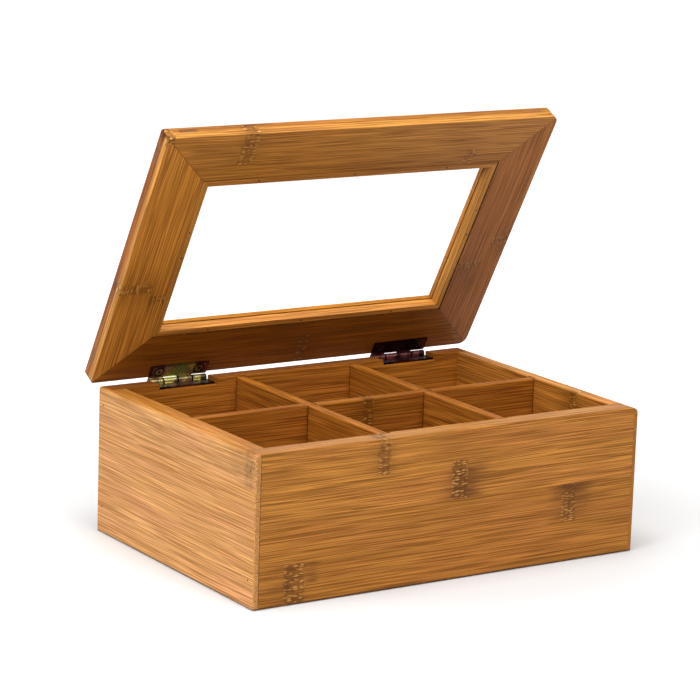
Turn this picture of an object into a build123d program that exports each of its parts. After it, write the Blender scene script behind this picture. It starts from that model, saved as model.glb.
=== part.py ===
from build123d import *
import os

# Tea bag organizer box, millimetres. The origin is the middle of the flat base, +Z up and the
# hinged side at +Y. The lid is drawn shut and then swung open about its hinge pins.

# The box
box_width = 280.0
box_depth = 192.0
box_height = 94.0
wall = 13.0
corner_lip = 3.2          # end grain of a side wall that shows beside the front wall
left_rim_round = 3.0      # sanded top edge outside the left wall
right_rim_round = 6.0     # the right wall's is sanded rounder
edge_ease = 1.6           # upright and bottom outside edges
rim_ease = 0.8            # front and back edges of the rim
inner_ease = 0.4          # edges of the rim inside the box

# The bottom panel, let into a rabbet round the foot of the walls, flush with their edges
panel_thick = 5.0
rabbet_depth = 5.0
panel_play = 0.1

# The dividers, crossing in halving joints, their ends in shallow housings
divider_thick = 6.5
divider_drop = 0.3        # below the rim
housing_depth = 2.0
joint_play = 0.1
divider_ease = 1.2
across_dividers = 2

# The brads that pin the corners
brad_radius = 0.6
brad_length = 20.0
brad_inset = 6.5          # from the front or back face
brad_from_rim = 11.0
brad_from_base = 17.5
brad_sink = 0.4           # below the wood around it

# The lid frame
lid_overhang = 4.0        # past each side wall
lid_thick = 11.0
lid_gap = 0.3             # between the shut lid and the rim
rail_width = 38.5
lid_round = 1.5           # top edge
lid_corner = 2.0          # left corners seen from above
front_corner = 5.0        # the right corner at the front
worn_corner = 6.0         # the right corner at the hinges
lid_ease = 0.25           # edges of the underside
open_angle = 61.0         # from shut to the pose in which the box is shown

# The keys across the mitres
key_thick = 3.0
key_lift = 5.5
key_near = 10.0           # from the corner, along either edge
key_far = 23.0

# The window
rebate = 4.5
pane_thick = 2.0
pane_play = 0.5
bead_depth = 6.0
bead_play = 0.2
bead_chamfer = 0.7
pin_radius = 0.5
pin_length = 5.0
pin_sink = 0.2
short_bead_pins = (40.0, 60.0)          # from the front end of the bead
long_bead_margin = 35.5                 # from either end of the bead

# The hinges
hinge_from_left = 58.0    # middle of the left hinge from the left side of the box
hinge_from_right = 52.0
hinge_length = 42.0
leaf_thick = 1.2
leaf_reach = 12.0         # from the pin's axis
notch_depth = 4.0
notch_play = 0.3
barrel_gap = 0.35         # between the barrel and the back of the box
knuckles = 4
knuckle_gap = 0.3
hinge_pin_radius = 1.1
tight_fit = 0.02
running_fit = 0.06

# The screws of the hinges
screw_spacing = 29.0
screw_reach = 7.2         # from the pin's axis
head_radius = 2.6
head_depth = 1.2
shank_radius = 1.2
screw_length = 8.0
cross_width = 0.8
cross_length = 2.8
cross_depth = 0.8
cross_turn = 20.0

# Drawing aids
overcut = 1.0             # how far a cutting shape passes the wood
close = 0.01

# Worked out from the sizes above
half_width, half_depth = box_width / 2, box_depth / 2
inner_width, inner_depth = box_width - 2 * wall, box_depth - 2 * wall
divider_top = box_height - divider_drop
divider_middle = (panel_thick + divider_top) / 2
hinge_centres = (hinge_from_left - half_width, half_width - hinge_from_right)
lid_width = box_width + 2 * lid_overhang
lid_under = box_height + lid_gap
barrel_radius = (notch_depth + lid_gap) / 2
axis_y = half_depth + barrel_radius + barrel_gap
axis_z = box_height - notch_depth + barrel_radius
rail_solid = rail_width - rebate        # width of a rail beside its rebate
rebate_depth = bead_depth + pane_thick
window_width = lid_width - 2 * rail_width
window_depth = box_depth - 2 * rail_width


def block(x0, x1, y0, y1, z0, z1):
    """A box between six planes."""
    middle = ((x0 + x1) / 2, (y0 + y1) / 2, (z0 + z1) / 2)
    return Pos(*middle) * Box(x1 - x0, y1 - y0, z1 - z0)


def rod(start, direction, radius, length):
    """A round bar from a point, along a direction."""
    plane = Plane(origin=start, z_dir=direction)
    return extrude(plane * Circle(radius), amount=length)


def near(edges, axis, value):
    """The edges whose middle lies at a height or place on an axis."""
    index = {"x": 0, "y": 1, "z": 2}[axis]
    return [e for e in edges if abs(tuple(e.center())[index] - value) < close]


def save(name, shape):
    """Writes one node."""
    export_step(shape, f"parts/{name}.step")


def swing(shape):
    """Turns a piece of the shut lid to the pose that is shown."""
    return shape.rotate(Axis((0, axis_y, axis_z), (1, 0, 0)), -open_angle)


# ---- the box ----

def eased_section(width, height, corners):
    """An upright rectangle on the base line, its four corners rounded by the radii given
    from the bottom left round to the top left."""
    outline = Pos(0, height / 2) * Rectangle(width, height)
    lower, upper = outline.vertices().group_by(Axis.Y)
    ends = [lower.sort_by(Axis.X)[0], lower.sort_by(Axis.X)[1],
            upper.sort_by(Axis.X)[1], upper.sort_by(Axis.X)[0]]
    places = [tuple(v) for v in ends]
    for place, radius in zip(places, corners):
        corner = min(outline.vertices(), key=lambda v: (v - Vertex(*place)).center().length)
        outline = fillet(corner, radius)
    return outline


def box_shell():
    """Four walls in one, with every outside edge eased, before they are parted at the corners."""
    across = Plane.XZ * eased_section(box_width, box_height,
                                      (edge_ease, edge_ease, right_rim_round, left_rim_round))
    along = Plane.YZ * eased_section(box_depth, box_height, (edge_ease, edge_ease, rim_ease, rim_ease))
    plan = RectangleRounded(box_width, box_depth, edge_ease)
    body = extrude(across, amount=half_depth, both=True)
    body &= extrude(along, amount=half_width, both=True)
    body &= extrude(plan, amount=box_height)
    body -= block(-inner_width / 2, inner_width / 2, -inner_depth / 2, inner_depth / 2,
                  -overcut, box_height + overcut)
    inner_rim = [e for e in near(body.edges(), "z", box_height)
                 if abs(abs(e.center().X) - inner_width / 2) < close
                 or abs(abs(e.center().Y) - inner_depth / 2) < close]
    return chamfer(inner_rim, inner_ease)


def wall_region(side):
    """The space of a side wall: full depth, with a rabbet at each end for the front and back walls."""
    inner, lip = side * (half_width - wall), side * (half_width - corner_lip)
    x0, x1 = sorted((side * (half_width + overcut), inner))
    region = block(x0, x1, -half_depth - overcut, half_depth + overcut, -overcut, box_height + overcut)
    for end in (-1, 1):
        x0, x1 = sorted((lip, inner - side * overcut))
        y0, y1 = sorted((end * (half_depth - wall), end * (half_depth + 2 * overcut)))
        region -= block(x0, x1, y0, y1, -2 * overcut, box_height + 2 * overcut)
    return region


def end_region(end):
    """The space of the front or back wall, between the lips of the side walls."""
    y0, y1 = sorted((end * (half_depth + overcut), end * (half_depth - wall)))
    reach = half_width - corner_lip
    return block(-reach, reach, y0, y1, -overcut, box_height + overcut)


def bottom_panel(grow, lower=0.0):
    """The space of the bottom panel, reaching into the walls by an amount."""
    x, y = inner_width / 2 + grow, inner_depth / 2 + grow
    return block(-x, x, -y, y, -lower, panel_thick)


def across_places():
    """Where the dividers that run from front to back stand, at equal compartments."""
    count = across_dividers
    room = (inner_width - count * divider_thick) / (count + 1)
    return [-inner_width / 2 + (i + 1) * room + (i + 0.5) * divider_thick for i in range(count)]


def housings():
    """The shallow slots in the walls that take the dividers' ends."""
    half = divider_thick / 2 + joint_play
    slots = [block(-inner_width / 2 - housing_depth, inner_width / 2 + housing_depth,
                   -half, half, panel_thick, box_height + overcut)]
    for x in across_places():
        slots.append(block(x - half, x + half, -inner_depth / 2 - housing_depth,
                           inner_depth / 2 + housing_depth, panel_thick, box_height + overcut))
    return slots


def eased_board(x0, x1, y0, y1):
    """A divider board with both long top edges rounded."""
    board = block(x0, x1, y0, y1, panel_thick, divider_top)
    run = Axis.X if x1 - x0 > y1 - y0 else Axis.Y
    return fillet(near(board.edges().filter_by(run), "z", divider_top), divider_ease)


def halving(x):
    """The crossing of two dividers in plan, with its play."""
    half = divider_thick / 2 + joint_play
    return x - half, x + half, -half, half


def long_divider():
    """Runs from side to side, notched from above where it is crossed."""
    reach = inner_width / 2 + housing_depth - joint_play
    board = eased_board(-reach, reach, -divider_thick / 2, divider_thick / 2)
    for x in across_places():
        board -= block(*halving(x), divider_middle, box_height)
    return board


def across_divider(x):
    """Runs from front to back, notched from below over the long divider."""
    reach = inner_depth / 2 + housing_depth - joint_play
    board = eased_board(x - divider_thick / 2, x + divider_thick / 2, -reach, reach)
    return board - block(*halving(x), 0, divider_middle + joint_play)


def corner_brads():
    """Two brads through each side wall's lip into the end of the front or back wall."""
    brads = []
    for side in (-1, 1):
        for end in (-1, 1):
            for z in (brad_from_base, box_height - brad_from_rim):
                head = (side * (half_width - brad_sink), end * (half_depth - brad_inset), z)
                brads.append(rod(head, (-side, 0, 0), brad_radius, brad_length))
    return brads


# ---- the hinges, drawn shut ----

def hinge_notch(x):
    """The notch through the top of the back wall under one hinge."""
    half = hinge_length / 2 + notch_play
    return block(x - half, x + half, inner_depth / 2 - overcut, half_depth + overcut,
                 box_height - notch_depth, box_height + overcut)


def leaf(x, over):
    """One leaf of a hinge: over is 1 for the lid's leaf and -1 for the box's."""
    outer, inner = axis_z + over * barrel_radius, axis_z + over * (barrel_radius - leaf_thick)
    z0, z1 = sorted((outer, inner))
    left = x - hinge_length / 2
    shape = block(left, left + hinge_length, axis_y - leaf_reach,
                  axis_y - barrel_radius - barrel_gap, z0, z1)
    pitch = hinge_length / knuckles
    for i in range(knuckles):
        if (i % 2 == 0) != (over > 0):
            continue
        x0, x1 = left + i * pitch + knuckle_gap / 2, left + (i + 1) * pitch - knuckle_gap / 2
        shape += block(x0, x1, axis_y - leaf_reach, axis_y, z0, z1)
        shape += rod((x0, axis_y, axis_z), (1, 0, 0), barrel_radius, x1 - x0)
    fit = running_fit if over > 0 else tight_fit
    shape -= rod((left - overcut, axis_y, axis_z), (1, 0, 0), hinge_pin_radius + fit,
                 hinge_length + 2 * overcut)
    for screw in leaf_screws(x, over, plain=True):
        shape -= screw
    return shape


def hinge_pin(x):
    return rod((x - hinge_length / 2, axis_y, axis_z), (1, 0, 0), hinge_pin_radius, hinge_length)


def leaf_screws(x, over, plain=False):
    """The two countersunk screws of a leaf, their heads flush with its inner face."""
    face = axis_z + over * (barrel_radius - leaf_thick)
    screws = []
    for dx in (-screw_spacing / 2, screw_spacing / 2):
        place = Plane(origin=(x + dx, axis_y - screw_reach, face), z_dir=(0, 0, over))
        head = loft([place * Circle(head_radius), place.offset(head_depth) * Circle(shank_radius)])
        screw = head + extrude(place.offset(head_depth) * Circle(shank_radius),
                               amount=screw_length - head_depth)
        if not plain:
            for turn in (0, 90):
                slot = place * Rot(0, 0, turn + cross_turn) * Rectangle(cross_length, cross_width)
                screw -= extrude(slot, amount=cross_depth)
        screws.append(screw)
    return screws


# ---- the lid, drawn shut ----

def lid_outline(inset, z0, z1):
    """The lid's outside, set in by an amount, as a plain slab."""
    return block(-lid_width / 2 + inset, lid_width / 2 - inset,
                 -half_depth + inset, half_depth - inset, z0, z1)


def lid_slab():
    """The outside of the lid frame, with its rounded top edge and eased corners."""
    slab = lid_outline(0, lid_under, lid_under + lid_thick)
    corners = ((-1, -1, lid_corner), (-1, 1, lid_corner), (1, -1, front_corner), (1, 1, worn_corner))
    for side, end, radius in corners:
        upright = near(slab.edges().filter_by(Axis.Z), "x", side * lid_width / 2)
        slab = fillet(near(upright, "y", end * half_depth), radius)
    slab = chamfer(near(slab.edges(), "z", lid_under), lid_ease)
    return round_top(slab)


def round_top(slab):
    """Rounds the slab's top edge."""
    top = slab.faces().sort_by(Axis.Z)[-1]
    return fillet(top.edges(), lid_round)


def lid_frame(slab):
    """The frame with the window through it and the rebate for pane and beads under it."""
    frame = slab - lid_outline(rail_width, lid_under - overcut, lid_under + lid_thick + overcut)
    return frame - lid_outline(rail_solid, lid_under - overcut, lid_under + rebate_depth)


def mitre_wedge(name):
    """The plan of one rail or stile between its mitres, as a prism."""
    x, y = lid_width / 2 + overcut, half_depth + overcut
    cx, cy = x - y, 0.0
    plans = {
        "front": [(-x, -y), (x, -y), (cx, cy), (-cx, cy)],
        "back": [(-x, y), (x, y), (cx, cy), (-cx, cy)],
        "left": [(-x, -y), (-cx, cy), (-x, y)],
        "right": [(x, -y), (cx, cy), (x, y)],
    }
    face = make_face(Polyline(*plans[name], close=True))
    return extrude(Pos(0, 0, lid_under - overcut) * face, amount=lid_thick + 2 * overcut)


def mitre_key(slab, side, end):
    """A thin key let into a slot across one mitre and trimmed flush with both edges."""
    x, y = side * (lid_width / 2 + overcut), end * (half_depth + overcut)
    near_leg, far_leg = key_near + 2 * overcut, key_far + 2 * overcut
    plan = Polyline((x - side * near_leg, y), (x - side * far_leg, y),
                    (x, y - end * far_leg), (x, y - end * near_leg), close=True)
    band = extrude(Pos(0, 0, lid_under + key_lift) * make_face(plan), amount=key_thick)
    return band & slab


def window_pane():
    grow = rebate - pane_play
    z0 = lid_under + bead_depth
    return block(-window_width / 2 - grow, window_width / 2 + grow,
                 -window_depth / 2 - grow, window_depth / 2 + grow, z0, z0 + pane_thick)


def bead_ring():
    """All four glazing beads in one, chamfered where they meet the frame."""
    ring = lid_outline(rail_solid + bead_play, lid_under, lid_under + bead_depth)
    ring = chamfer(near(ring.edges(), "z", lid_under), bead_chamfer)
    return ring - lid_outline(rail_width, lid_under - overcut, lid_under + bead_depth + overcut)


def bead_pins():
    """Two brads in each short bead and three in each long one."""
    mid = rail_solid + bead_play + (rebate - bead_play) / 2
    x, y = lid_width / 2 - mid, half_depth - mid
    z = lid_under + pin_sink
    front_end = -half_depth + rail_solid
    places = [(side * x, front_end + step) for side in (-1, 1) for step in short_bead_pins]
    reach = window_width / 2 - long_bead_margin
    places += [(step, end * y) for end in (-1, 1) for step in (-reach, 0, reach)]
    return [rod((px, py, z), (0, 0, 1), pin_radius, pin_length) for px, py in places]


# ---- writing the nodes ----

os.makedirs("parts", exist_ok=True)

shell = box_shell() - bottom_panel(rabbet_depth, overcut)
for slot in housings():
    shell -= slot
for x in hinge_centres:
    shell -= hinge_notch(x)
brads = corner_brads()
box_screws = [s for x in hinge_centres for s in leaf_screws(x, -1)]
lid_screws = [s for x in hinge_centres for s in leaf_screws(x, 1)]

for brad in brads:
    shell -= brad
for x in hinge_centres:
    for screw in leaf_screws(x, -1, plain=True):
        shell -= screw

save("left_wall", shell & wall_region(-1))
save("right_wall", shell & wall_region(1))
save("front_wall", shell & end_region(-1))
save("back_wall", shell & end_region(1))
save("bottom_panel", bottom_panel(rabbet_depth - panel_play))
save("long_divider", long_divider())
for name, x in zip(("left", "right"), across_places()):
    save(f"cross_divider_{name}", across_divider(x))
save("wall_brads", Compound(brads))

slab = lid_slab()
keys = {}
for side, sname in ((-1, "left"), (1, "right")):
    for end, ename in ((-1, "front"), (1, "back")):
        keys[f"mitre_key_{ename}_{sname}"] = mitre_key(slab, side, end)
frame = lid_frame(slab)
for key in keys.values():
    frame -= key
for x in hinge_centres:
    for screw in leaf_screws(x, 1, plain=True):
        frame -= screw
for name, piece in (("front", "lid_front_rail"), ("back", "lid_back_rail"),
                    ("left", "lid_left_stile"), ("right", "lid_right_stile")):
    save(piece, swing(frame & mitre_wedge(name)))
for name, key in keys.items():
    save(name, swing(key))
save("window_pane", swing(window_pane()))
pins = bead_pins()
ring = bead_ring()
for pin in pins:
    ring -= pin
for name in ("front", "back", "left", "right"):
    save(f"glazing_bead_{name}", swing(ring & mitre_wedge(name)))
save("bead_brads", swing(Compound(pins)))

for name, x in zip(("left", "right"), hinge_centres):
    save(f"hinge_{name}_box_leaf", leaf(x, -1))
    save(f"hinge_{name}_lid_leaf", swing(leaf(x, 1)))
    save(f"hinge_{name}_pin", hinge_pin(x))
save("hinge_box_screws", Compound(box_screws))
save("hinge_lid_screws", swing(Compound(lid_screws)))

print("hinge axis", axis_y, axis_z, "divider places", across_places())
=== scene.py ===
import bpy
from math import copysign, radians
from mathutils import Matrix, Vector


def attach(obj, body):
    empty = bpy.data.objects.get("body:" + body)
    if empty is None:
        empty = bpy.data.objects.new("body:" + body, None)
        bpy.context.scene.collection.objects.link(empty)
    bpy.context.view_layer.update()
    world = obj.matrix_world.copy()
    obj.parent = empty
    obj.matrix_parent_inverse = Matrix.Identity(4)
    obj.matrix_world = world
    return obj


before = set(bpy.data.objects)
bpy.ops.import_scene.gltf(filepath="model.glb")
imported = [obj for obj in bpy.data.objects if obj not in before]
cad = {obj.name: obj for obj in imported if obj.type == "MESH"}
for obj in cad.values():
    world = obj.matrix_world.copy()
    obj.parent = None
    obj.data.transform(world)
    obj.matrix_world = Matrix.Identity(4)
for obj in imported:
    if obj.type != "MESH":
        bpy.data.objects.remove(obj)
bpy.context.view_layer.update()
scene = bpy.context.scene
scene.view_settings.view_transform = "Standard"


# ---- Camera ----
# A long lens looks down a little at the front left corner of the box. Its place, turn and
# focal length come from matching the box's edges.
picture_width = 700                   # pixels
focal_length = 2900                   # pixels
yaw, pitch, roll = radians(33.408), radians(-12.323), radians(1.915)
lens = bpy.data.cameras.new("camera")
lens.sensor_width = 36.0
lens.lens = focal_length / picture_width * lens.sensor_width
lens.clip_end = 20.0
camera = bpy.data.objects.new("camera", lens)
scene.collection.objects.link(camera)
camera.location = (-0.9861, -1.4723, 0.5105)
turn = Matrix.Rotation(-yaw, 3, "Z") @ Matrix.Rotation(radians(90) + pitch, 3, "X")
camera.rotation_euler = (turn @ Matrix.Rotation(roll, 3, "Z")).to_euler()
scene.camera = camera


# ---- Front wall ----
# A bamboo board of four flat strips glued edge to edge, golden brown, with one node in each
# strip. The side walls lap over its ends, and the glue there has stained dark. Two dark lines
# along its foot are painted shade, where the box stands on the floor.
def add(tree, kind, fill=None, **options):
    """Adds a shader node, sets its options and gives its sockets their values or their wires."""
    made = tree.nodes.new("ShaderNode" + kind)
    for key, value in options.items():
        setattr(made, key, value)
    for key, value in (fill or {}).items():
        if isinstance(value, bpy.types.NodeSocket):
            tree.links.new(value, made.inputs[key])
        else:
            made.inputs[key].default_value = value
    return made


def sums(tree, operation, *values, clamp=False):
    """One step of arithmetic."""
    made = add(tree, "Math", dict(enumerate(values)), operation=operation, use_clamp=clamp)
    return made.outputs[0]


def ramp(tree, value, low, high, to_low=0.0, to_high=1.0, smooth=True):
    """Goes from to_low to to_high while the value goes from low to high, and stays there."""
    fill = {"Value": value, "From Min": low, "From Max": high, "To Min": to_low, "To Max": to_high}
    kind = "SMOOTHSTEP" if smooth else "LINEAR"
    return add(tree, "MapRange", fill, interpolation_type=kind).outputs["Result"]


def blend(tree, factor, first, second, kind="MIX"):
    """Lays the second colour over the first, or tints the first with it."""
    fill = {0: factor, 6: first, 7: second}
    return add(tree, "Mix", fill, data_type="RGBA", blend_type=kind).outputs[2]


def stretched(tree, grain, along, across, detail=2.0, shift=None, rough=0.5):
    """Noise drawn out along the grain: along and across are its sizes in millimetres."""
    scaled = add(tree, "Mapping", {"Vector": grain, "Scale": (1 / along, 1 / across, 1 / across)})
    vector = scaled.outputs[0]
    if shift is not None:
        vector = add(tree, "VectorMath", {0: vector, 1: shift}, operation="ADD").outputs[0]
    fill = {"Vector": vector, "Scale": 1.0, "Detail": detail, "Roughness": rough}
    return add(tree, "TexNoise", fill).outputs[0]


def group(name, takes, gives):
    """A node group. Takes lists its inputs with their kinds and values, gives its outputs."""
    tree = bpy.data.node_groups.new(name, "ShaderNodeTree")
    for label, kind, value in takes:
        socket = tree.interface.new_socket(label, in_out="INPUT", socket_type="NodeSocket" + kind)
        if value is not None:
            socket.default_value = value
    for label, kind in gives:
        tree.interface.new_socket(label, in_out="OUTPUT", socket_type="NodeSocket" + kind)
    return tree, tree.nodes.new("NodeGroupInput").outputs, tree.nodes.new("NodeGroupOutput").inputs


def put_out(tree, give, **values):
    """Wires values to a group's outputs."""
    for key, value in values.items():
        tree.links.new(value, give[key])


# The board itself. Each strip has its own tone, long fibres with fine dark dashes, and a hairline
# of glue at its edges. Grain space is in millimetres: X along the fibres, Y across the strips, Z
# through the board.
bamboo, take, give = group(
    "Bamboo board",
    [("Grain", "Vector", None), ("Light", "Color", (0.6, 0.33, 0.13, 1)),
     ("Dark", "Color", (0.4, 0.2, 0.06, 1)), ("Fibre", "Color", (0.22, 0.1, 0.03, 1)),
     ("Strip", "Float", 24.6), ("First", "Float", 0.0), ("Seed", "Float", 0.0),
     ("Streaks", "Float", 0.5), ("Contrast", "Float", 0.5), ("Blush", "Float", 0.6)],
    [("Color", "Color"), ("Roughness", "Float"), ("Height", "Float")])
blush_tint, pale_tint = (0.95, 0.82, 1.15, 1), (1.4, 1.44, 1.6, 1)
parts = add(bamboo, "SeparateXYZ", {0: take["Grain"]}).outputs
place = sums(bamboo, "DIVIDE", sums(bamboo, "SUBTRACT", parts[1], take["First"]), take["Strip"])
strip = sums(bamboo, "FLOOR", place)
strip_own = add(bamboo, "CombineXYZ", {0: strip, 1: take["Seed"], 2: 3.7}).outputs[0]
chance = add(bamboo, "TexWhiteNoise", {"Vector": strip_own}, noise_dimensions="3D").outputs
shift = add(bamboo, "VectorMath", {0: chance["Color"], "Scale": 60.0}, operation="SCALE").outputs[0]
bow = stretched(bamboo, take["Grain"], along=120.0, across=60.0, detail=1.0, shift=shift)
bowed = sums(bamboo, "MULTIPLY_ADD", bow, 2.0, parts[1])
bent = add(bamboo, "CombineXYZ", {0: parts[0], 1: bowed, 2: parts[2]}).outputs[0]
fibres = stretched(bamboo, bent, along=75.0, across=0.72, detail=1.0, shift=shift, rough=0.6)
fibres = ramp(bamboo, fibres, 0.5, 0.59)
dashes = stretched(bamboo, bent, along=45.0, across=0.5, detail=0.0, shift=shift)
dashes = ramp(bamboo, dashes, 0.5, 0.62)
pales = stretched(bamboo, bent, along=50.0, across=0.58, detail=0.0, shift=take["Seed"])
pales = ramp(bamboo, pales, 0.52, 0.62)
bands = stretched(bamboo, bent, along=300.0, across=2.4, shift=shift)
bands = ramp(bamboo, bands, 0.35, 0.65, -0.5, 0.5, smooth=False)
cloud = stretched(bamboo, take["Grain"], along=70.0, across=22.0, shift=shift)
cloud = ramp(bamboo, cloud, 0.3, 0.7, -0.5, 0.5, smooth=False)
tone = sums(bamboo, "SUBTRACT", chance["Value"], 0.5)
tone = sums(bamboo, "MULTIPLY_ADD", tone, 0.55, 0.5)
tone = sums(bamboo, "MULTIPLY_ADD", bands, take["Streaks"], tone)
tone = sums(bamboo, "MULTIPLY_ADD", cloud, 0.2, tone, clamp=True)
colour = blend(bamboo, tone, take["Dark"], take["Light"])
blush = stretched(bamboo, take["Grain"], along=90.0, across=16.0, shift=strip_own)
blush = sums(bamboo, "MULTIPLY", ramp(bamboo, blush, 0.48, 0.62), take["Blush"])
colour = blend(bamboo, blush, colour, blush_tint, "MULTIPLY")
colour = blend(bamboo, sums(bamboo, "MULTIPLY", pales, 0.7), colour, pale_tint, "MULTIPLY")
half_contrast = sums(bamboo, "MULTIPLY", take["Contrast"], 0.5)
colour = blend(bamboo, sums(bamboo, "MULTIPLY", fibres, half_contrast), colour, take["Fibre"])
colour = blend(bamboo, sums(bamboo, "MULTIPLY", dashes, take["Contrast"]), colour, take["Fibre"])
off_centre = sums(bamboo, "ABSOLUTE", sums(bamboo, "SUBTRACT", sums(bamboo, "FRACT", place), 0.5))
glue = ramp(bamboo, off_centre, 0.492, 0.497)
colour = blend(bamboo, sums(bamboo, "MULTIPLY", glue, 0.3), colour, take["Fibre"])
rough = sums(bamboo, "MULTIPLY_ADD", fibres, 0.1, 0.4)
relief = sums(bamboo, "MULTIPLY_ADD", fibres, -0.4, 1.0)
relief = sums(bamboo, "MULTIPLY_ADD", dashes, -0.5, relief)
put_out(bamboo, give, Color=colour, Roughness=sums(bamboo, "MULTIPLY_ADD", dashes, 0.12, rough),
        Height=sums(bamboo, "MULTIPLY_ADD", glue, -0.3, relief))

# A node. Where the cane had a joint, a strip carries a ragged bar of dark and light ticks right
# across it, with brown smears that run out along the fibres.
knot, take, give = group(
    "Bamboo node",
    [("Color", "Color", (1, 1, 1, 1)), ("Height", "Float", 1.0), ("Grain", "Vector", None),
     ("Place", "Vector", (0, 0, 0)), ("Half Width", "Float", 12.0), ("Half Length", "Float", 4.0),
     ("Smear", "Float", 0.6), ("Lean", "Float", 0.0), ("Reach", "Float", 22.0),
     ("Ticks", "Float", 0.8), ("Stain", "Color", (0.12, 0.036, 0.003, 1)),
     ("Pale", "Color", (0.68, 0.34, 0.08, 1))],
    [("Color", "Color"), ("Height", "Float")])
tick_size = (3.8, 0.8, 2.0)           # millimetres
away = add(knot, "VectorMath", {0: take["Grain"], 1: take["Place"]}, operation="SUBTRACT")
parts = add(knot, "SeparateXYZ", {0: away.outputs[0]}).outputs
beside = sums(knot, "SUBTRACT", take["Half Width"], sums(knot, "ABSOLUTE", parts[1]))
inside = ramp(knot, beside, -0.2, 0.5)
wobble = stretched(knot, take["Grain"], along=40.0, across=3.0, detail=3.0)
off = sums(knot, "MULTIPLY_ADD", sums(knot, "SUBTRACT", wobble, 0.5), 6.0, parts[0])
bar = sums(knot, "SUBTRACT", take["Half Length"], sums(knot, "ABSOLUTE", off))
bar = sums(knot, "MULTIPLY", ramp(knot, bar, -0.8, 0.8), inside)
cells = {"Vector": take["Grain"], "Scale": tuple(1 / size for size in tick_size)}
cells = add(knot, "Mapping", cells).outputs[0]
cells = add(knot, "TexVoronoi", {"Vector": cells, "Scale": 1.0, "Randomness": 1.0}).outputs
mark = sums(knot, "MULTIPLY", ramp(knot, cells["Distance"], 0.6, 0.38), bar)
chance = add(knot, "SeparateColor", {0: cells["Color"]}).outputs[0]
ticks = sums(knot, "MULTIPLY", ramp(knot, chance, 0.47, 0.41), mark)
pales = sums(knot, "MULTIPLY", ramp(knot, chance, 0.53, 0.59), mark)
far = sums(knot, "ABSOLUTE", sums(knot, "SUBTRACT", off, take["Lean"]))
smear = ramp(knot, sums(knot, "DIVIDE", far, take["Reach"]), 1.0, 0.1)
streak = stretched(knot, take["Grain"], along=12.0, across=1.1, detail=3.0)
streak = ramp(knot, streak, 0.36, 0.6, 0.5, 1.0)
lobes = ramp(knot, stretched(knot, take["Grain"], along=30.0, across=9.0), 0.34, 0.56, 0.35, 1.0)
smear = sums(knot, "MULTIPLY", sums(knot, "MULTIPLY", smear, inside),
             sums(knot, "MULTIPLY", streak, lobes))
bar_depth = sums(knot, "MULTIPLY", take["Ticks"], 0.6)
pale_depth = sums(knot, "MULTIPLY", take["Ticks"], 0.85)
colour = take["Color"]
for mask, depth, stain in ((smear, take["Smear"], "Stain"), (bar, bar_depth, "Stain"),
                           (ticks, take["Ticks"], "Stain"), (pales, pale_depth, "Pale")):
    colour = blend(knot, sums(knot, "MULTIPLY", mask, depth), colour, take[stain])
lift = sums(knot, "MULTIPLY_ADD", pales, 1.4, take["Height"])
put_out(knot, give, Color=colour, Height=sums(knot, "MULTIPLY_ADD", ticks, -1.6, lift))

# A glued joint. Where a board ends in another the glue line takes a dark stain, square across or
# along a mitre. The same group draws the dark lines in line with a board, and those are painted
# shade: along the foot of a wall and in the groove beside a glazing bead.
joint, take, give = group(
    "Glued joint",
    [("Color", "Color", (1, 1, 1, 1)), ("Height", "Float", 1.0), ("Grain", "Vector", None),
     ("Both Ends", "Float", 1.0), ("One End", "Float", 0.0), ("Sideways", "Float", 0.0),
     ("End", "Float", 100.0), ("Depth", "Float", 0.75),
     ("Stain", "Color", (0.07, 0.022, 0.004, 1))],
    [("Color", "Color"), ("Height", "Float")])
parts = add(joint, "SeparateXYZ", {0: take["Grain"]}).outputs
reach = sums(joint, "MULTIPLY", sums(joint, "ABSOLUTE", parts[0]), take["Both Ends"])
reach = sums(joint, "MULTIPLY_ADD", parts[0], take["One End"], reach)
reach = sums(joint, "MULTIPLY_ADD", parts[1], take["Sideways"], reach)
near = sums(joint, "ABSOLUTE", sums(joint, "SUBTRACT", take["End"], reach))
ragged = stretched(joint, take["Grain"], along=3.0, across=1.6)
ragged = ramp(joint, ragged, 0.3, 0.55, 0.45, 1.0)
near = sums(joint, "MULTIPLY", ramp(joint, near, 0.75, 0.15), ragged)
stained = sums(joint, "MULTIPLY", near, take["Depth"])
put_out(joint, give, Color=blend(joint, stained, take["Color"], take["Stain"]),
        Height=sums(joint, "MULTIPLY_ADD", near, -1.2, take["Height"]))

# End grain. Sawn across, the strips show a dense field of dark fibre dots, and they take the
# finish darker.
ends, take, give = group(
    "Bamboo end grain",
    [("Color", "Color", (1, 1, 1, 1)), ("Height", "Float", 1.0), ("Grain", "Vector", None),
     ("Facing", "Vector", None), ("Dots", "Color", (0.16, 0.07, 0.02, 1))],
    [("Color", "Color"), ("Height", "Float")])
lengthwise = add(ends, "SeparateXYZ", {0: take["Facing"]}).outputs[0]
cut = ramp(ends, sums(ends, "ABSOLUTE", lengthwise), 0.55, 0.85)
flat = add(ends, "Mapping", {"Vector": take["Grain"], "Scale": (0.02, 1.0, 1.0)}).outputs[0]
spots = add(ends, "TexVoronoi", {"Vector": flat, "Scale": 1.15, "Randomness": 0.9}).outputs
spots = sums(ends, "MULTIPLY", ramp(ends, spots["Distance"], 0.42, 0.22), cut)
colour = blend(ends, sums(ends, "MULTIPLY", cut, 0.25), take["Color"], take["Dots"])
put_out(ends, give, Color=blend(ends, sums(ends, "MULTIPLY", spots, 0.75), colour, take["Dots"]),
        Height=sums(ends, "MULTIPLY_ADD", spots, -0.8, take["Height"]))

# The grain is laid on with the lid shut, so a lid board is first swung back about the pins.
per_metre = 1000                      # millimetres
lid_angle = 61.0                      # how far the lid stands open, in degrees
pin_line = Vector((0, 0.0985, 0.09215))


def new_material(name):
    """A material, with its tree and its shader."""
    made = bpy.data.materials.new(name)
    made.use_nodes = True
    return made, made.node_tree, made.node_tree.nodes["Principled BSDF"]


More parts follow.
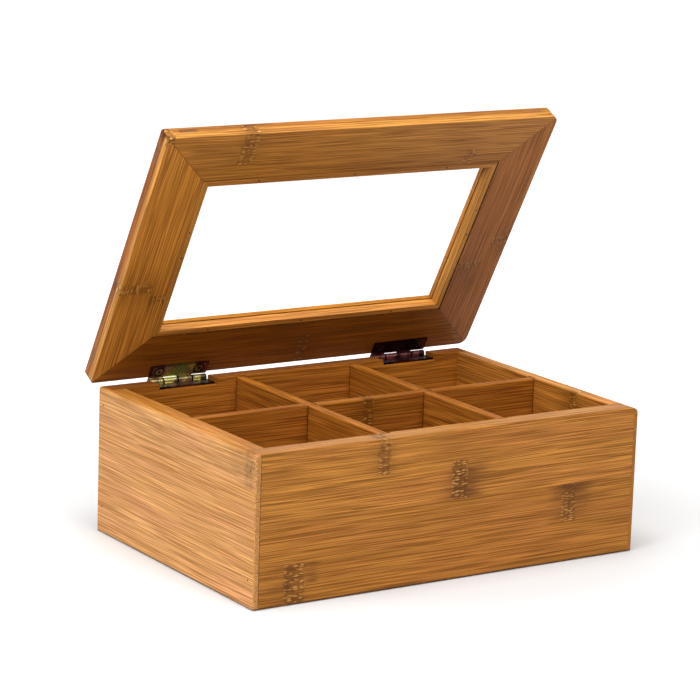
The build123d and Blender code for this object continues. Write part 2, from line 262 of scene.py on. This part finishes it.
def millimetres(tree, **placing):
    """Where a point of the piece lies, in millimetres, once it is turned and moved."""
    spot = add(tree, "TexCoord").outputs["Object"]
    return add(tree, "Mapping", {"Vector": spot, "Scale": (per_metre,) * 3, **placing}).outputs[0]


def finish_bamboo(name, along, across, light, dark, fibre, strip=24.6, first=0.0, seed=0.0,
                  streaks=0.14, contrast=0.8, blush=0.4, knots=(), joints=(), swung=0.0,
                  edge_light_and_shade=(1, 1, 1), ply=None, outer=(0.72, 0.63, 0.5), shine=0.2):
    """A satin lacquered bamboo for one board. Along and across are the board's own directions with
    the lid shut, and swung is how far the board stands open, in degrees. Strip is a strip's width
    and first is where one begins, in millimetres. Edge light and shade is painted light and shade:
    it tints the narrow faces lighter or darker. Outer tints the layer that lies higher than ply,
    in millimetres, with the lid shut."""
    made, tree, shader = new_material(name)
    along, across = Vector(along), Vector(across)
    lay = Matrix((along, across, along.cross(across)))
    shut = Matrix.Rotation(radians(swung), 3, "X")
    turned = (lay @ shut).to_euler()
    moved = lay @ (pin_line - shut @ pin_line) * per_metre
    grain = millimetres(tree, Rotation=turned, Location=moved)
    normal = add(tree, "TexCoord").outputs["Normal"]
    facing = add(tree, "Mapping", {"Vector": normal, "Rotation": turned}).outputs[0]
    tones = {"Grain": grain, "Light": (*light, 1), "Dark": (*dark, 1), "Fibre": (*fibre, 1),
             "Strip": strip, "First": first, "Seed": seed, "Streaks": streaks,
             "Contrast": contrast, "Blush": blush}
    board = add(tree, "Group", tones, node_tree=bamboo).outputs
    layers = [(knot, marks) for marks in knots] + [(joint, line) for line in joints]
    top = board
    for effect, marks in layers + [(ends, {"Facing": facing})]:
        fill = {"Color": top["Color"], "Height": top["Height"], "Grain": grain, **marks}
        top = add(tree, "Group", fill, node_tree=effect).outputs
    # Painted light and shade: the narrow faces, such as rims and the lid's edges, are tinted
    # lighter or darker as the lamps would light them.
    narrow = sums(tree, "ABSOLUTE", add(tree, "SeparateXYZ", {0: facing}).outputs[1])
    colour = blend(tree, ramp(tree, narrow, 0.75, 0.97), top["Color"], (*edge_light_and_shade, 1), "MULTIPLY")
    if ply:
        height = sums(tree, "ABSOLUTE", add(tree, "SeparateXYZ", {0: grain}).outputs[2])
        above = ramp(tree, height, ply - 0.2, ply + 0.2)
        colour = blend(tree, above, colour, (*outer, 1), "MULTIPLY")
    bump = add(tree, "Bump", {"Height": top["Height"], "Strength": 0.35, "Distance": 0.00012})
    tree.links.new(colour, shader.inputs["Base Color"])
    tree.links.new(board["Roughness"], shader.inputs["Roughness"])
    tree.links.new(bump.outputs[0], shader.inputs["Normal"])
    shader.inputs["Specular IOR Level"].default_value = shine
    return made


def node_bar(along, across, half_length, smear, ticks, half_width=12.2, lean=0.0, reach=22.0):
    """A node of the bamboo, with its middle this far along and across the board."""
    return {"Place": (along, across, 0), "Half Width": half_width, "Half Length": half_length,
            "Smear": smear, "Lean": lean, "Reach": reach, "Ticks": ticks}


def brown_smear(along, across, half_width, smear, reach):
    """A smear along the fibres, with no bar of ticks."""
    return node_bar(along, across, 1.0, smear, 0.0, half_width=half_width, reach=reach)


def line_across(place, depth):
    """The stain of a joint square across the board, this far along it."""
    return {"Both Ends": 0.0, "One End": copysign(1.0, place), "End": abs(place), "Depth": depth}


def lines_across(reach, depth):
    """The same stain on both sides of the board's middle."""
    return {"Both Ends": 1.0, "End": reach, "Depth": depth}


def shade_line_along(place, depth):
    """A dark line of painted shade in line with the board, this far across it."""
    return {"Both Ends": 0.0, "Sideways": 1.0, "End": place, "Depth": depth}


def dress(name, material):
    """Puts a material in every slot of a CAD piece."""
    slots = cad[name].data.materials
    for index in range(len(slots)):
        slots[index] = material


X, Y, Z = (1, 0, 0), (0, 1, 0), (0, 0, 1)
# Painted shade: two dark lines along the foot of a wall, where it meets the floor.
foot_shade_lines = [shade_line_along(0.2, 0.95), shade_line_along(0.9, 0.85)]
wall_joints = [line_across(-136.8, 0.85), line_across(136.8, 0.2)]
dress("front_wall", finish_bamboo(
    "front wall", X, Z, light=(0.54, 0.22, 0.034), dark=(0.4, 0.148, 0.016),
    fibre=(0.2, 0.066, 0.005), first=0.9, seed=1.0, edge_light_and_shade=(1.03, 1.14, 1.9),
    joints=wall_joints + foot_shade_lines, knots=[
        node_bar(4.0, 62.7, half_length=5.4, smear=0.85, ticks=0.9, lean=4.0, reach=21.0),
        node_bar(88.0, 38.1, half_length=5.4, smear=0.55, ticks=0.7),
        brown_smear(90.0, 44.0, half_width=6.4, smear=0.7, reach=20.0),
        node_bar(-51.0, 84.0, half_length=4.2, smear=0.35, ticks=0.6, reach=14.0),
        node_bar(-112.0, 13.4, half_length=7.0, smear=0.45, ticks=0.75, lean=-6.0),
        brown_smear(-100.0, 18.5, half_width=6.5, smear=0.8, reach=7.0),
        brown_smear(-117.0, 15.0, half_width=10.0, smear=0.6, reach=4.0)]))


# ---- Side walls ----
# Bamboo boards, the left one pale and the right one golden brown like the front. Their rabbeted
# ends lap over the front and back walls, are glued and nailed there, and show their end grain.
# Dark lines along their feet are painted shade, where they stand on the floor.
dress("left_wall", finish_bamboo(
    "left wall", Y, Z, light=(0.74, 0.375, 0.12), dark=(0.6, 0.272, 0.068),
    fibre=(0.33, 0.12, 0.02), first=-1.6, seed=2.0, streaks=0.1, contrast=0.65,
    edge_light_and_shade=(0.88, 0.73, 0.4), joints=[shade_line_along(0.2, 0.9), shade_line_along(0.9, 0.7)], knots=[
        node_bar(-88.0, 84.0, half_length=5.0, smear=0.3, ticks=0.35, half_width=12.0, lean=6.0),
        brown_smear(0.0, 84.5, half_width=12.2, smear=0.2, reach=220.0)]))
dress("right_wall", finish_bamboo(
    "right wall", Y, Z, light=(0.6, 0.245, 0.042), dark=(0.47, 0.172, 0.022),
    fibre=(0.24, 0.077, 0.008), first=4.0, seed=3.0, edge_light_and_shade=(1.25, 1.4, 2.0), shine=0.1,
    joints=[shade_line_along(0.7, 0.8)], knots=[
        node_bar(-45.0, 90.0, half_length=3.5, smear=0.5, ticks=0.6, half_width=12.0),
        node_bar(52.0, 41.0, half_length=4.0, smear=0.5, ticks=0.7)]))


# ---- Back wall ----
# A bamboo board like the front, a little darker. Its ends are lapped by the side walls in the
# same way, and its rim is notched for the two hinges.
dress("back_wall", finish_bamboo(
    "back wall", X, Z, light=(0.5, 0.175, 0.022), dark=(0.36, 0.115, 0.011),
    fibre=(0.17, 0.045, 0.003), first=-6.0, seed=4.0, shine=0.08, joints=wall_joints, knots=[
        node_bar(-20.0, 55.0, half_length=4.0, smear=0.5, ticks=0.7),
        node_bar(96.0, 31.0, half_length=4.0, smear=0.5, ticks=0.7)]))


# ---- Dividers ----
# Three thin bamboo boards. The cross ones are slotted over the long one, and all of them are let
# into the walls, so their joints show as dark lines.
dress("long_divider", finish_bamboo(
    "long divider", X, Z, light=(0.48, 0.175, 0.022), dark=(0.34, 0.11, 0.011),
    fibre=(0.16, 0.042, 0.003), first=2.0, seed=5.0, shine=0.08,
    joints=[lines_across(127.0, 0.9), lines_across(40.2, 0.7), lines_across(46.7, 0.7)],
    knots=[node_bar(-2.0, 88.0, half_length=3.5, smear=0.4, ticks=0.7)]))
for seed, side in ((6.0, "left"), (7.0, "right")):
    dress("cross_divider_" + side, finish_bamboo(
        "cross divider " + side, Y, Z, light=(0.46, 0.165, 0.02), dark=(0.33, 0.11, 0.011),
        fibre=(0.16, 0.042, 0.003), first=-4.0, seed=seed, shine=0.08,
        joints=[lines_across(83.0, 1.0), lines_across(3.25, 0.7)]))


# ---- Bottom panel ----
# A thin bamboo board with its strips along the box. It is glued into a rabbet round the foot of
# the walls, flush with their lower edges.
dress("bottom_panel", finish_bamboo(
    "bottom panel", X, Y, light=(0.56, 0.23, 0.04), dark=(0.44, 0.17, 0.025),
    fibre=(0.2, 0.065, 0.008), seed=8.0))


# ---- Lid frame ----
# Four flat boards, 34 mm wide, mitred and glued at the corners, with the grain along each board.
# The lid stands open, and an outer layer shows darker in the edges at the front and the left.
# A dark line along the inner edge of each board is painted shade, in the groove beside the bead.
mitre_offset = 48.0                   # half the lid's width less half its depth, in millimetres


def mitres(sideways, depth, offset=mitre_offset):
    """The stains of the mitres at both ends of a lid board. Sideways is 1 or -1, the way across the
    board that leads to the window, and a stile takes the offset negative."""
    return {"Both Ends": 1.0, "Sideways": sideways, "End": offset, "Depth": depth}


lid_board = dict(swung=lid_angle, streaks=0.12, contrast=0.7, blush=0.25)
dress("lid_front_rail", finish_bamboo(
    "lid front rail", X, Y, light=(0.48, 0.2, 0.032), dark=(0.355, 0.135, 0.016),
    fibre=(0.17, 0.053, 0.006), first=-73.0, seed=9.0, edge_light_and_shade=(1.45, 1.55, 1.7), ply=100.2,
    joints=[mitres(1.0, 0.55), shade_line_along(-62.0, 0.5)], knots=[
        node_bar(-85.0, -85.0, half_length=5.5, smear=0.4, ticks=0.6),
        node_bar(-142.0, -95.0, half_length=3.5, smear=0.0, ticks=0.9, half_width=2.6),
        node_bar(84.0, -61.0, half_length=3.8, smear=0.25, ticks=0.5)], **lid_board))
# The back rail's tones are set darker than the other boards', partly painted shade where it lies by
# the hinges.
dress("lid_back_rail", finish_bamboo(
    "lid back rail", X, Y, light=(0.3, 0.095, 0.006), dark=(0.2, 0.058, 0.003),
    fibre=(0.09, 0.024, 0.001), first=72.0, seed=10.0, edge_light_and_shade=(2.0, 2.3, 1.6),
    joints=[mitres(-1.0, 0.55), shade_line_along(62.0, 0.85)],
    knots=[node_bar(8.0, 84.3, half_length=4.0, smear=0.4, ticks=0.5)], **lid_board))
dress("lid_left_stile", finish_bamboo(
    "lid left stile", Y, X, light=(0.59, 0.245, 0.037), dark=(0.46, 0.172, 0.02),
    fibre=(0.2, 0.065, 0.006), first=-121.2, seed=11.0, edge_light_and_shade=(1.25, 1.4, 1.5),
    ply=98.9, outer=(0.56, 0.36, 0.05),
    joints=[mitres(1.0, 0.55, -mitre_offset), shade_line_along(-110.0, 0.35)], knots=[
        node_bar(20.5, -133.5, half_length=3.6, smear=0.4, ticks=0.6),
        node_bar(-93.5, -142.5, half_length=3.0, smear=0.0, ticks=0.9, half_width=2.4),
        node_bar(31.0, -108.9, half_length=3.6, smear=0.4, ticks=0.6)], **lid_board))
dress("lid_right_stile", finish_bamboo(
    "lid right stile", Y, X, light=(0.385, 0.13, 0.019), dark=(0.285, 0.091, 0.01),
    fibre=(0.14, 0.042, 0.006), first=129.8, seed=12.0, edge_light_and_shade=(1.6, 1.75, 1.5),
    joints=[mitres(-1.0, 0.35, -mitre_offset), shade_line_along(110.0, 0.95)], knots=[
        node_bar(6.0, 142.0, half_length=3.5, smear=0.3, ticks=0.5),
        node_bar(25.0, 117.5, half_length=3.0, smear=0.5, ticks=0.5, lean=8.0)], **lid_board))


# ---- Mitre keys ----
# A thin slip of bamboo is glued into a slot across each corner of the lid, to hold the mitre.
# It is cut off flush and sanded with the frame.
key_tones = dict(
    left=dict(light=(0.34, 0.14, 0.045), dark=(0.25, 0.1, 0.03), fibre=(0.14, 0.045, 0.01)),
    right=dict(light=(0.46, 0.185, 0.04), dark=(0.36, 0.135, 0.026), fibre=(0.2, 0.07, 0.012)))
corners = [(end, side) for end in ("front", "back") for side in ("left", "right")]
for seed, (end, side) in enumerate(corners, start=20):
    dress("mitre_key_%s_%s" % (end, side), finish_bamboo(
        "mitre key %s %s" % (end, side), X, Y, **key_tones[side], strip=12.0, seed=seed,
        swung=lid_angle))


# ---- Glazing beads ----
# Four thin strips of bamboo round the underside of the window. They are pinned to the frame with
# brads and hold the pane in its rebate.
bead_tones = dict(
    front=dict(light=(0.46, 0.185, 0.032), dark=(0.36, 0.135, 0.018), fibre=(0.18, 0.055, 0.006)),
    back=dict(light=(0.66, 0.28, 0.05), dark=(0.52, 0.2, 0.03), fibre=(0.26, 0.085, 0.01)),
    left=dict(light=(0.5, 0.21, 0.034), dark=(0.4, 0.15, 0.018), fibre=(0.2, 0.065, 0.006)),
    right=dict(light=(0.6, 0.27, 0.04), dark=(0.48, 0.2, 0.024), fibre=(0.26, 0.085, 0.008)))
for seed, (side, tones) in enumerate(bead_tones.items(), start=30):
    along, across = (X, Y) if side in ("front", "back") else (Y, X)
    dress("glazing_bead_" + side, finish_bamboo(
        "glazing bead " + side, along, across, **tones, strip=60.0, seed=seed, **lid_board))


# ---- Window pane ----
# Clear flat glass, 2 mm thick, laid in the rebate of the lid and held there by the beads. Light
# goes through it to the box without a shadow.
glass, tree, shader = new_material("window glass")
shader.inputs["Base Color"].default_value = (0.98, 0.995, 0.99, 1)
shader.inputs["Transmission Weight"].default_value = 1.0
shader.inputs["Roughness"].default_value = 0.0
shader.inputs["IOR"].default_value = 1.45
rays = add(tree, "LightPath").outputs
tree.links.new(sums(tree, "SUBTRACT", 1.0, rays["Is Shadow Ray"]), shader.inputs["Alpha"])
dress("window_pane", glass)


# ---- Hinges ----
# Two small butt hinges of stamped steel: a leaf under the lid, a leaf in the notch and a pin
# through their knuckles. Their passivated film shines green and gold on the left hinge and dark
# maroon on the right one.
screw_along, screw_back = 14.5, 7.2   # a screw's middle from the middle of the pin
knuckle_pitch = 10.5
teal_tint = (0.7, 1.2, 2.4, 1)
# Where each mark begins and where it is full: the painted shade round a screw and in the seams,
# the darker rim of a leaf and the barrel's bright tone. The seams between the knuckles are in
# shares of their pitch, and all else on the hinges is in millimetres.
screw_ring, seam_edge = (4.3, 3.2), (0.075, 0.045)
end_rim, back_rim, barrel_edge = (19.4, 20.8), (-10.6, -11.8), (-3.0, -2.3)
film, take, give = group(
    "Passivated film",
    [("Point", "Vector", None), ("Middle", "Color", (0.3, 0.5, 0.08, 1)),
     ("Between", "Color", (0.5, 0.36, 0.08, 1)), ("Ends", "Color", (0.16, 0.06, 0.07, 1)),
     ("BarrelHighlight", "Color", (0.8, 0.75, 0.3, 1)), ("Shade", "Color", (0.02, 0.01, 0.01, 1))],
    [("Color", "Color"), ("Roughness", "Float"), ("Height", "Float")])


def film_noise(scale, **more):
    """Noise over the hinge."""
    return add(film, "TexNoise", {"Vector": take["Point"], "Scale": scale, **more}).outputs[0]


parts = add(film, "SeparateXYZ", {0: take["Point"]}).outputs
off_middle = sums(film, "ABSOLUTE", parts[0])
cloud = film_noise(0.2, Detail=2.0, Distortion=0.8)
reach = sums(film, "MULTIPLY_ADD", cloud, 14.0, sums(film, "SUBTRACT", off_middle, 7.0))
colour = blend(film, ramp(film, reach, 3.0, 8.0), take["Middle"], take["Between"])
colour = blend(film, ramp(film, reach, 9.0, 14.0), colour, take["Ends"])
teal = sums(film, "MULTIPLY", ramp(film, film_noise(0.35), 0.5, 0.62), 0.35)
colour = blend(film, teal, colour, teal_tint, "MULTIPLY")
from_screw = {0: sums(film, "SUBTRACT", off_middle, screw_along),
              1: sums(film, "ADD", parts[1], screw_back), 2: 0.0}
from_screw = add(film, "CombineXYZ", from_screw).outputs[0]
from_screw = add(film, "VectorMath", {0: from_screw}, operation="LENGTH").outputs["Value"]
# Painted shade: a dark ring round each screw, in its countersink. The leaf also darkens towards its
# ends and its back edge.
ring = sums(film, "MULTIPLY", ramp(film, from_screw, *screw_ring), 0.9)
border = sums(film, "MAXIMUM", ramp(film, off_middle, *end_rim), ramp(film, parts[1], *back_rim))
shade_and_rim = sums(film, "MAXIMUM", ring, sums(film, "MULTIPLY", border, 0.6))
# The barrel takes a bright tone, a painted highlight along the knuckles, with tarnish mixed over
# it.
barrel = ramp(film, parts[1], *barrel_edge)
tarnish = ramp(film, film_noise(0.16, Detail=1.0), 0.45, 0.6, 0.0, 0.75)
colour = blend(film, barrel, colour, blend(film, tarnish, take["BarrelHighlight"], take["Ends"]))
# Painted shade in the seams between the knuckles.
seam = sums(film, "FRACT", sums(film, "MULTIPLY_ADD", parts[0], 1 / knuckle_pitch, 0.5))
seam = sums(film, "ABSOLUTE", sums(film, "SUBTRACT", seam, 0.5))
seam = sums(film, "MULTIPLY", ramp(film, seam, *seam_edge), barrel)
shade_and_rim = sums(film, "MAXIMUM", shade_and_rim, sums(film, "MULTIPLY", seam, 0.95))
wear = film_noise(1.4, Detail=4.0, Roughness=0.7)
put_out(film, give, Color=blend(film, shade_and_rim, colour, take["Shade"]),
        Roughness=ramp(film, wear, 0.3, 0.7, 0.2, 0.42),
        Height=sums(film, "MULTIPLY_ADD", shade_and_rim, -1.0, wear))


def from_pin(tree, swung, middle=0.0):
    """Millimetres from the pins' line with the lid shut. Middle is where a hinge's middle lies
    along the lid, in metres."""
    shut = Matrix.Rotation(radians(swung), 3, "X")
    moved = -(shut @ pin_line) * per_metre - Vector((middle * per_metre, 0, 0))
    return millimetres(tree, Rotation=shut.to_euler(), Location=moved)


def plated(name, middle, swung, tones):
    """The passivated film on one piece of a hinge."""
    made, tree, shader = new_material(name)
    fill = {key: (*tone, 1) for key, tone in tones.items()}
    fill["Point"] = from_pin(tree, swung, middle)
    coat = add(tree, "Group", fill, node_tree=film).outputs
    bump = add(tree, "Bump", {"Height": coat["Height"], "Strength": 0.4, "Distance": 0.0001})
    shader.inputs["Metallic"].default_value = 1.0
    tree.links.new(coat["Color"], shader.inputs["Base Color"])
    tree.links.new(coat["Roughness"], shader.inputs["Roughness"])
    tree.links.new(bump.outputs[0], shader.inputs["Normal"])
    return made


green_gold = dict(Middle=(0.42, 0.62, 0.12), Between=(0.62, 0.5, 0.16), Ends=(0.24, 0.1, 0.11),
                  BarrelHighlight=(0.95, 0.85, 0.36), Shade=(0.025, 0.012, 0.01))
deep_maroon = dict(Middle=(0.07, 0.035, 0.025), Between=(0.05, 0.022, 0.018),
                   Ends=(0.14, 0.04, 0.04), BarrelHighlight=(0.5, 0.2, 0.2), Shade=(0.012, 0.008, 0.006))
# The leaf in the notch takes the film's darker tones: painted shade, as it lies under the open lid
# and mirrors its dark underside.
for side, middle, tones in (("left", -0.082, green_gold), ("right", 0.088, deep_maroon)):
    shaded_in_notch = dict(tones, Middle=tones["Ends"], Between=tones["Ends"], Ends=tones["Shade"])
    for piece, swung, film_tones in (("lid leaf", lid_angle, tones), ("box leaf", 0.0, shaded_in_notch),
                                     ("pin", 0.0, tones)):
        dress("hinge_%s_%s" % (side, piece.replace(" ", "_")),
              plated("%s hinge %s" % (side, piece), middle, swung, film_tones))


# ---- Hinge screws ----
# Two countersunk cross-head screws hold each leaf. They are plated like brass in the left hinge
# and dark in the right one, and the bottom of each cross is painted black, painted shade in the
# recess.
cross_floor = (1.05, 1.3)             # from the pins' line, in millimetres


def screw_steel(name, swung):
    """One material for the screws of both hinges."""
    made, tree, shader = new_material(name)
    point = from_pin(tree, swung)
    parts = add(tree, "SeparateXYZ", {0: point}).outputs
    right_hinge = ramp(tree, parts[0], -1.0, 1.0)
    colour = blend(tree, right_hinge, (0.75, 0.6, 0.25, 1), (0.2, 0.13, 0.11, 1))
    wear = add(tree, "TexNoise", {"Vector": point, "Scale": 1.2, "Detail": 3.0}).outputs[0]
    colour = blend(tree, ramp(tree, wear, 0.4, 0.65, 0.0, 0.6), colour, (0.14, 0.08, 0.06, 1))
    cross_shade = ramp(tree, sums(tree, "ABSOLUTE", parts[2]), *cross_floor)
    colour = blend(tree, cross_shade, colour, (0.012, 0.008, 0.006, 1))
    shader.inputs["Metallic"].default_value = 1.0
    tree.links.new(colour, shader.inputs["Base Color"])
    tree.links.new(ramp(tree, wear, 0.3, 0.7, 0.2, 0.4), shader.inputs["Roughness"])
    return made


dress("hinge_box_screws", screw_steel("box screw steel", 0.0))
dress("hinge_lid_screws", screw_steel("lid screw steel", lid_angle))


# ---- Brads ----
# Thin wire nails, darkened in the wood. They are driven through the side walls into the front and
# back walls, and through the glazing beads into the lid's frame.
iron, tree, shader = new_material("dark brad iron")
rust = add(tree, "TexNoise", {"Vector": millimetres(tree), "Scale": 2.0, "Detail": 3.0}).outputs[0]
rusty = ramp(tree, rust, 0.35, 0.65)
rusty = blend(tree, rusty, (0.008, 0.004, 0.003, 1), (0.025, 0.012, 0.006, 1))
shader.inputs["Metallic"].default_value = 0.2
tree.links.new(rusty, shader.inputs["Base Color"])
tree.links.new(ramp(tree, rust, 0.3, 0.7, 0.6, 0.85), shader.inputs["Roughness"])
dress("wall_brads", iron)
dress("bead_brads", iron)


# ---- Nail holes ----
# The brads go in under the surface, and a dab of dark filler closes each hole, slightly domed.
# Two show at each end of the side walls, two in each short bead and three in each long one.
filler, tree, shader = new_material("dark hole filler")
crumbs = {"Vector": millimetres(tree), "Scale": 3.0, "Detail": 2.0}
crumbs = add(tree, "TexNoise", crumbs).outputs[0]
crumbly = ramp(tree, crumbs, 0.35, 0.65)
crumbly = blend(tree, crumbly, (0.012, 0.005, 0.002, 1), (0.045, 0.018, 0.007, 1))
tree.links.new(crumbly, shader.inputs["Base Color"])
tree.links.new(ramp(tree, crumbs, 0.3, 0.7, 0.7, 0.9), shader.inputs["Roughness"])
dab_radius, dab_thick = 0.0006, 0.0003
dab_sunk = 0.00013                    # how deep its middle lies
dome_steps = (0.00002, 0.00001)       # how much each ring of the dome rises


def fill_holes(name, body, places):
    """A dab of filler in each hole. A place is a hole's middle and which way it faces, with the
    lid shut."""
    bpy.ops.object.select_all(action="DESELECT")
    bpy.ops.mesh.primitive_cylinder_add(vertices=20, radius=dab_radius, depth=dab_thick)
    dab = bpy.context.object
    bpy.ops.object.mode_set(mode="EDIT")
    bpy.ops.mesh.select_mode(type="FACE")
    bpy.ops.mesh.select_all(action="DESELECT")
    bpy.ops.object.mode_set(mode="OBJECT")
    for face in dab.data.polygons:
        face.select = face.normal.z > 0.9
    bpy.ops.object.mode_set(mode="EDIT")
    for rise in dome_steps:
        bpy.ops.mesh.inset(thickness=dab_radius * 0.3)
        bpy.ops.transform.translate(value=(0, 0, rise))
    bpy.ops.object.mode_set(mode="OBJECT")
    dabs = [dab]
    for _ in places[1:]:
        dabs.append(dab.copy())
        dabs[-1].data = dab.data.copy()
        scene.collection.objects.link(dabs[-1])
    opened = Matrix.Identity(4)
    if body == "lid":
        swing = Matrix.Rotation(radians(-lid_angle), 4, "X")
        opened = Matrix.Translation(pin_line) @ swing @ Matrix.Translation(-pin_line)
    for dab, (middle, away) in zip(dabs, places):
        turned = Vector(away).to_track_quat("Z", "Y").to_matrix().to_4x4()
        pressed_in = Matrix.Translation(Vector(middle) - Vector(away) * dab_sunk)
        dab.matrix_world = opened @ pressed_in @ turned
        dab.select_set(True)
    bpy.context.view_layer.objects.active = dabs[0]
    bpy.ops.object.transform_apply(location=True, rotation=True, scale=True)
    bpy.ops.object.join()
    bpy.ops.object.shade_smooth_by_angle(angle=radians(40))
    dabs[0].name = name
    dabs[0].data.materials.append(filler)
    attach(dabs[0], body)


wall_face, wall_hole_y, wall_hole_heights = 0.14, 0.0895, (0.0175, 0.083)
wall_holes = [((side * wall_face, end * wall_hole_y, height), (side, 0, 0))
              for side in (-1, 1) for end in (-1, 1) for height in wall_hole_heights]
fill_holes("wall_hole_filler", "box", wall_holes)
under_bead = 0.0943 - 0.00002         # the dabs stand a little prouder of the beads
short_bead_x, long_bead_y = 0.10765, 0.05965
bead_holes = [(side * short_bead_x, y) for side in (-1, 1) for y in (-0.022, -0.002)]
bead_holes += [(x, side * long_bead_y) for side in (-1, 1) for x in (-0.07, 0, 0.07)]
fill_holes("bead_hole_filler", "lid", [((x, y, under_bead), (0, 0, -1)) for x, y in bead_holes])


# ---- Floor ----
# A plain white sheet under the box. The camera sees it lifted to white away from the box, and the
# box's shadow stays on it close by.
sheet_size, sheet_tone = 16.0, 0.68
bpy.ops.mesh.primitive_plane_add(size=sheet_size, location=(0, 0, 0))
floor = bpy.context.object
floor.name = "floor"
paper, tree, shader = new_material("white floor")
shader.inputs["Base Color"].default_value = (sheet_tone, sheet_tone, sheet_tone, 1)
shader.inputs["Roughness"].default_value = 0.9
shader.inputs["Emission Color"].default_value = (1, 1, 1, 1)
rays = add(tree, "LightPath").outputs
seen = sums(tree, "MAXIMUM", rays["Is Glossy Ray"], rays["Is Transmission Ray"])
seen = sums(tree, "MAXIMUM", rays["Is Camera Ray"], seen)
spot = add(tree, "TexCoord").outputs["Object"]
around = add(tree, "Mapping", {"Vector": spot, "Location": (-0.05, 0, 0)}).outputs[0]
afar = add(tree, "VectorMath", {0: around}, operation="LENGTH").outputs["Value"]
beside_box = ramp(tree, afar, 0.14, 0.48, 0.035, 0.6, smooth=False)
far_off = ramp(tree, afar, 0.6, 3.0, 0.0, 1.0, smooth=False)
lift = sums(tree, "MAXIMUM", beside_box, far_off)
tree.links.new(sums(tree, "MULTIPLY", seen, lift), shader.inputs["Emission Strength"])
floor.data.materials.append(paper)


# ---- Light ----
# A white room all round, brighter behind the box than in front of it. Three round soft lamps hang
# in it: a large one overhead, one on the left and one in front, high up.
world = bpy.data.worlds.new("white room")
scene.world = world
world.use_nodes = True
tree = world.node_tree
tree.nodes.clear()
rays = add(tree, "LightPath").outputs
seen = sums(tree, "MAXIMUM", rays["Is Camera Ray"], rays["Is Transmission Ray"])
direction = add(tree, "TexCoord").outputs["Generated"]
toward = add(tree, "VectorMath", {0: direction, 1: Y}, operation="DOT_PRODUCT").outputs["Value"]
strength = ramp(tree, toward, -0.4, 0.6, 0.21, 0.65)
room = add(tree, "Background", {"Color": (1, 1, 1, 1), "Strength": strength})
white = add(tree, "Background", {"Color": (1, 1, 1, 1), "Strength": 1.0})
either = add(tree, "MixShader", {0: seen, 1: room.outputs[0], 2: white.outputs[0]})
tree.links.new(either.outputs[0], add(tree, "OutputWorld").inputs[0])


box_middle = Vector((0, 0, 0.05))


def lamp(name, place, size, power):
    """A round area lamp aimed at the box."""
    data = bpy.data.lights.new(name, "AREA")
    data.shape, data.size, data.energy = "DISK", size, power
    made = bpy.data.objects.new(name, data)
    scene.collection.objects.link(made)
    made.location = place
    made.rotation_euler = (Vector(place) - box_middle).to_track_quat("Z", "Y").to_euler()


lamp("overhead", (-0.3, -0.2, 2.2), 1.4, 34.0)
lamp("key", (-2.0, -0.7, 1.0), 1.0, 21.0)
lamp("front", (0.2, -1.7, 1.9), 1.2, 25.0)
